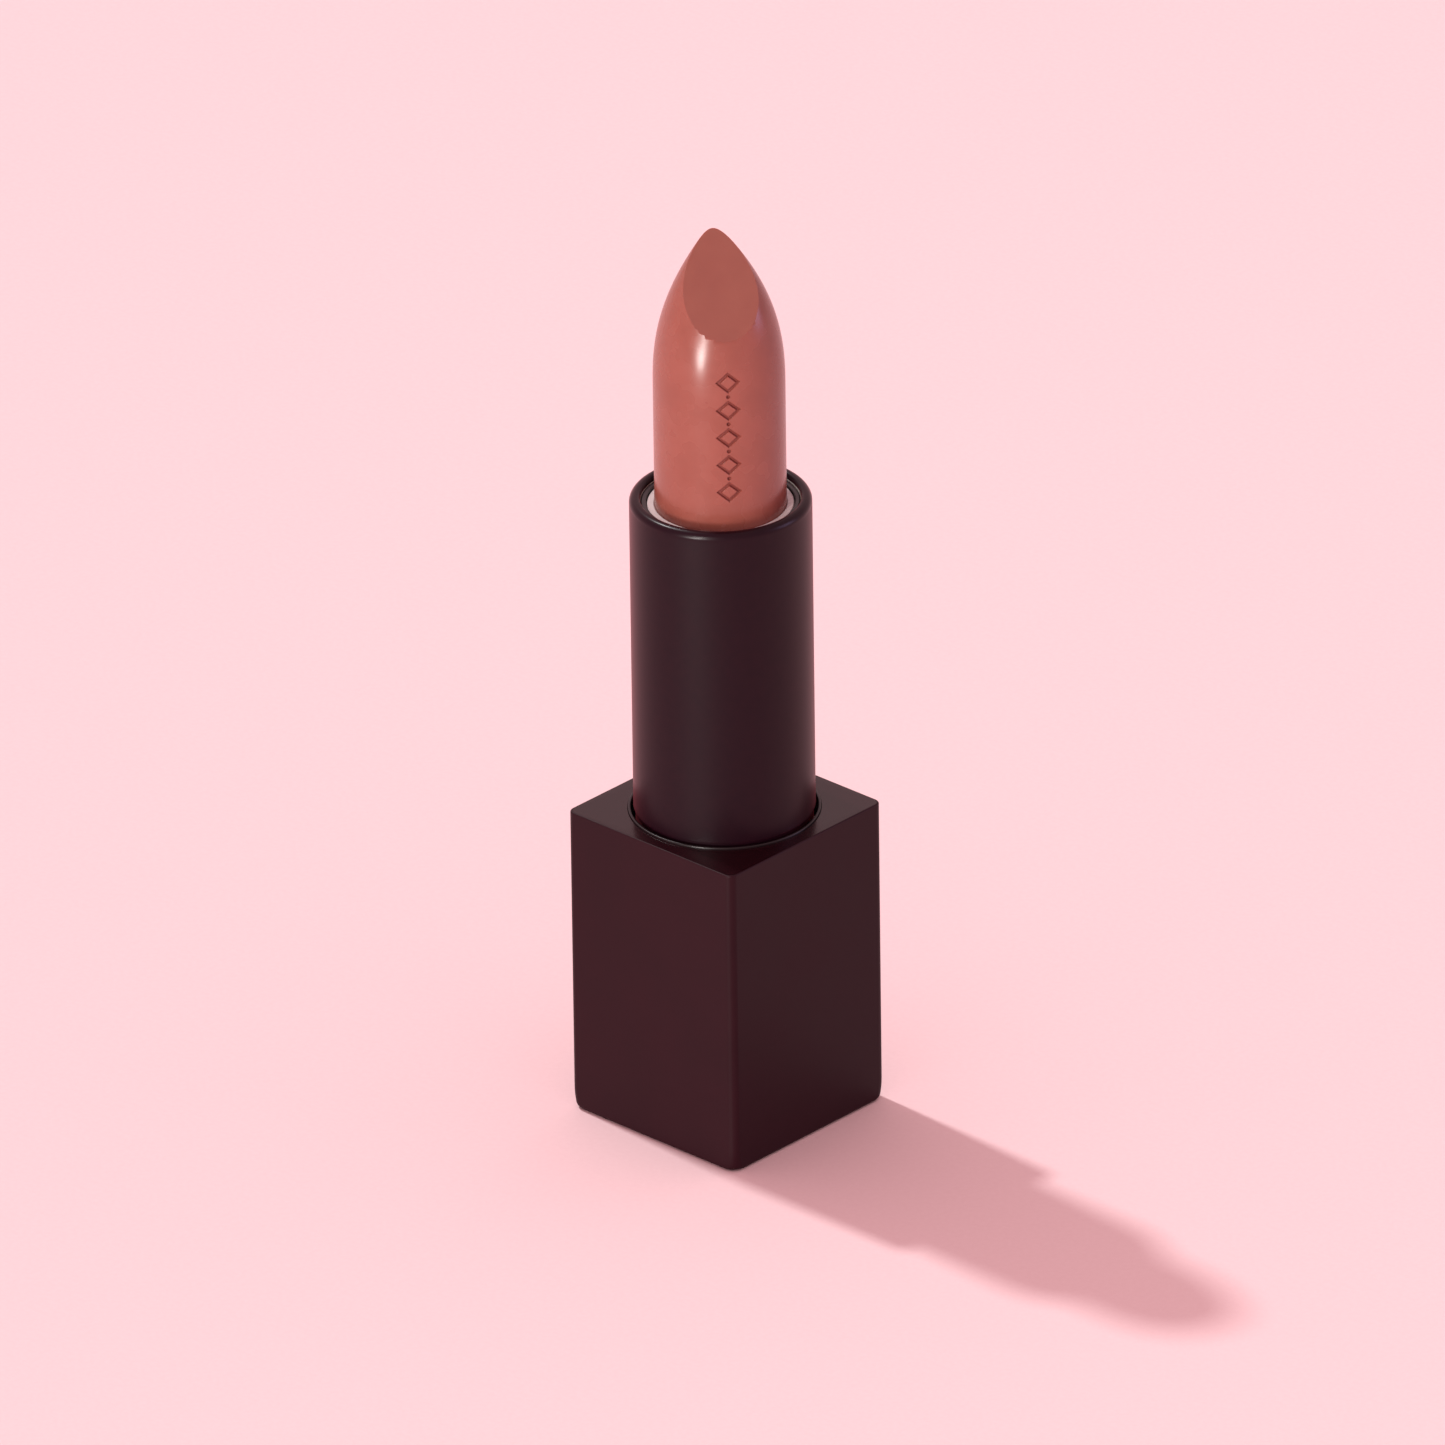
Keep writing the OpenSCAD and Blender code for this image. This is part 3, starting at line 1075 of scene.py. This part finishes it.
    def press_depth(self, across: float, height: float) -> float:
        """Works out how deep the ornament is pressed at a place on the bullet's side.

        Args:
            across: Distance round the bullet from the ornament's middle line.
            height: Height of the place.

        Returns:
            The depth, from 0 to press_mm.
        """
        nearest = self.cell_mm
        for mark, middle in self.marks():
            rise = height - middle
            if mark is Mark.LOZENGE:
                tall = self.mark_half_mm * self.mark_squash
                slope = math.hypot(1 / self.mark_half_mm, 1 / tall)
                outline = (abs(across) / self.mark_half_mm + abs(rise) / tall - 1) / slope
                gap = abs(outline) - self.stroke_mm
            else:
                gap = math.hypot(across, rise) - self.stroke_mm * self.dot_ratio
            nearest = min(nearest, gap)
        blend = min(max(0.5 - nearest / self.wall_mm, 0.0), 1.0)
        return self.press_mm * blend * blend * (3 - 2 * blend)

    def press_marks(self, mesh: bmesh.types.BMesh) -> None:
        """Refines the side below the cut face and presses the ornament into it.

        Args:
            mesh: The cut stick, changed in place.
        """
        reach = self.mark_half_mm + 2 * self.stroke_mm
        low, high = self.rim + self.mark_low_mm, self.rim + self.mark_high_mm

        def inside(face: bmesh.types.BMFace) -> bool:
            middle = face.calc_center_median()
            return middle.y < 0 and abs(middle.x) < reach and low < middle.z < high

        patch = [face for face in mesh.faces if inside(face)]
        edges = list({edge for face in patch for edge in face.edges})
        bmesh.ops.subdivide_edges(mesh, edges=edges, cuts=self.fine_cuts, use_grid_fill=True)
        for vert in mesh.verts:
            place = vert.co
            if place.y > 0 or abs(place.x) > 2 * reach or not low - WELD_MM < place.z < high + WELD_MM:
                continue
            centre = self.centre_at(place.z)
            angle = math.atan2(place.x, centre - place.y)
            radius = self.radius_at(place.z) - self.press_depth(self.radius * angle, place.z)
            place.x = radius * math.sin(angle)
            place.y = centre - radius * math.cos(angle)
        # Faces pressed past half the depth take the darker wax, which is painted shade in the grooves
        for face in mesh.faces:
            middle = face.calc_center_median()
            if inside(face):
                angle = math.atan2(middle.x, self.centre_at(middle.z) - middle.y)
                if self.press_depth(self.radius * angle, middle.z) > self.press_mm / 2:
                    face.material_index = 2


@dataclass
class Carrier:
    """The group that rises and sinks: the cup and the bullet in it."""

    def build(self) -> None:
        """Dresses the cup and builds the bullet."""
        dress("carrier_cup", CUP_ABS)
        Bullet().build()


# ---------------------------------------------------------------- the studio


@dataclass(frozen=True)
class Panel:
    """A light panel that faces the case, at an azimuth from the front towards the right."""

    name: str
    azimuth: float
    height_m: float
    width_m: float
    tall_m: float
    watts: float
    colour: tuple[float, float, float]
    distance_m: float = 1.6


PANELS = (
    # A tall softbox left of the camera puts the highlight under the bullet's face and on the rim
    Panel("softbox", math.radians(16), 0.52, 0.16, 1.0, 19.0, (1.0, 0.95, 0.91)),
    # A small low card makes the long highlight on the upright walls, which mirror what stands low
    Panel("low_card", math.radians(11), 0.06, 0.06, 0.07, 0.7, (1.0, 0.93, 0.9), distance_m=0.35),
    # A dim mauve card behind the case at the right shows at the edge of the bullet
    Panel("mauve_card", math.radians(132), 0.6, 0.6, 0.9, 6.0, (0.7, 0.55, 0.95)),
)


@dataclass
class Studio:
    """The floor, the light and the camera."""

    floor_m: float = 4.0
    sky: Colour = (0.80, 0.525, 0.545, 1.0)
    key_strength: float = 1.66
    key_spread: float = math.radians(3.4)
    key_towards: Vector = Vector((-0.584, 0.024, 0.812))
    lens_mm: float = 721.3
    clip_end_m: float = 20.0
    distance_m: float = 2.651
    elevation: float = math.radians(26.78)
    azimuth: float = math.radians(43.12)
    roll: float = math.radians(-0.748)
    aim_m: Vector = Vector((-0.00007, -0.00006, 0.03918))

    def build(self) -> None:
        """Builds the floor, the lights and the camera."""
        floor = self.build_floor()
        self.build_sky()
        self.build_key()
        for panel in PANELS:
            self.build_panel(panel, floor)
        self.build_camera()

    def build_floor(self) -> bpy.types.Object:
        """Lays a pale pink paper floor.

        Returns:
            The floor.
        """
        mesh = bmesh.new()
        bmesh.ops.create_grid(mesh, x_segments=2, y_segments=2, size=self.floor_m)
        data = bpy.data.meshes.new("floor")
        mesh.to_mesh(data)
        mesh.free()
        floor = bpy.data.objects.new("floor", data)
        bpy.context.scene.collection.objects.link(floor)
        assign(floor, PAPER.build())
        return floor

    def build_sky(self) -> None:
        """Fills the shadows with the pink that the room's surfaces throw back."""
        world = bpy.data.worlds.new("pink_room")
        world.use_nodes = True
        backdrop = world.node_tree.nodes["Background"]
        backdrop.inputs["Color"].default_value = self.sky
        bpy.context.scene.world = world

    def build_key(self) -> None:
        """Sets the hard key light at the left, whose shadow softens away from the base."""
        light = bpy.data.lights.new("key", "SUN")
        light.energy = self.key_strength
        light.angle = self.key_spread
        lamp = bpy.data.objects.new("key", light)
        lamp.rotation_euler = self.key_towards.to_track_quat("Z", "Y").to_euler()
        bpy.context.scene.collection.objects.link(lamp)

    def build_panel(self, panel: Panel, floor: bpy.types.Object) -> None:
        """Stands a light panel round the case.

        Args:
            panel: The panel.
            floor: The floor, which the panel leaves unlit so that only the key casts a shadow.
        """
        light = bpy.data.lights.new(panel.name, "AREA")
        light.shape = "RECTANGLE"
        light.size, light.size_y = panel.width_m, panel.tall_m
        light.energy = panel.watts
        light.color = panel.colour
        lamp = bpy.data.objects.new(panel.name, light)
        lamp.location = (
            math.sin(panel.azimuth) * panel.distance_m, -math.cos(panel.azimuth) * panel.distance_m,
            panel.height_m,
        )
        lamp.rotation_euler = (lamp.location - self.aim_m).to_track_quat("Z", "Y").to_euler()
        bpy.context.scene.collection.objects.link(lamp)
        unlit = bpy.data.collections.new("unlit_by_" + panel.name)
        unlit.objects.link(floor)
        unlit.collection_objects[0].light_linking.link_state = "EXCLUDE"
        lamp.light_linking.receiver_collection = unlit

    def build_camera(self) -> None:
        """Places a long lens that looks down at a corner of the base."""
        towards = Vector((
            math.sin(self.azimuth) * math.cos(self.elevation),
            -math.cos(self.azimuth) * math.cos(self.elevation),
            math.sin(self.elevation),
        ))
        lens = bpy.data.cameras.new("camera")
        lens.lens = self.lens_mm
        lens.clip_end = self.clip_end_m
        camera = bpy.data.objects.new("camera", lens)
        turn = towards.to_track_quat("Z", "Y").to_matrix() @ Matrix.Rotation(self.roll, 3, "Z")
        camera.matrix_world = Matrix.Translation(self.aim_m + towards * self.distance_m) @ turn.to_4x4()
        bpy.context.scene.collection.objects.link(camera)
        bpy.context.scene.camera = camera
        bpy.context.scene.view_settings.view_transform = "Standard"


def main() -> None:
    """Builds the case and the studio round it."""
    logging.basicConfig(level=logging.INFO, format="%(message)s")
    Studio().build()
    Base().build()
    Barrel().build()
    Carrier().build()


if __name__ == "__main__":
    main()
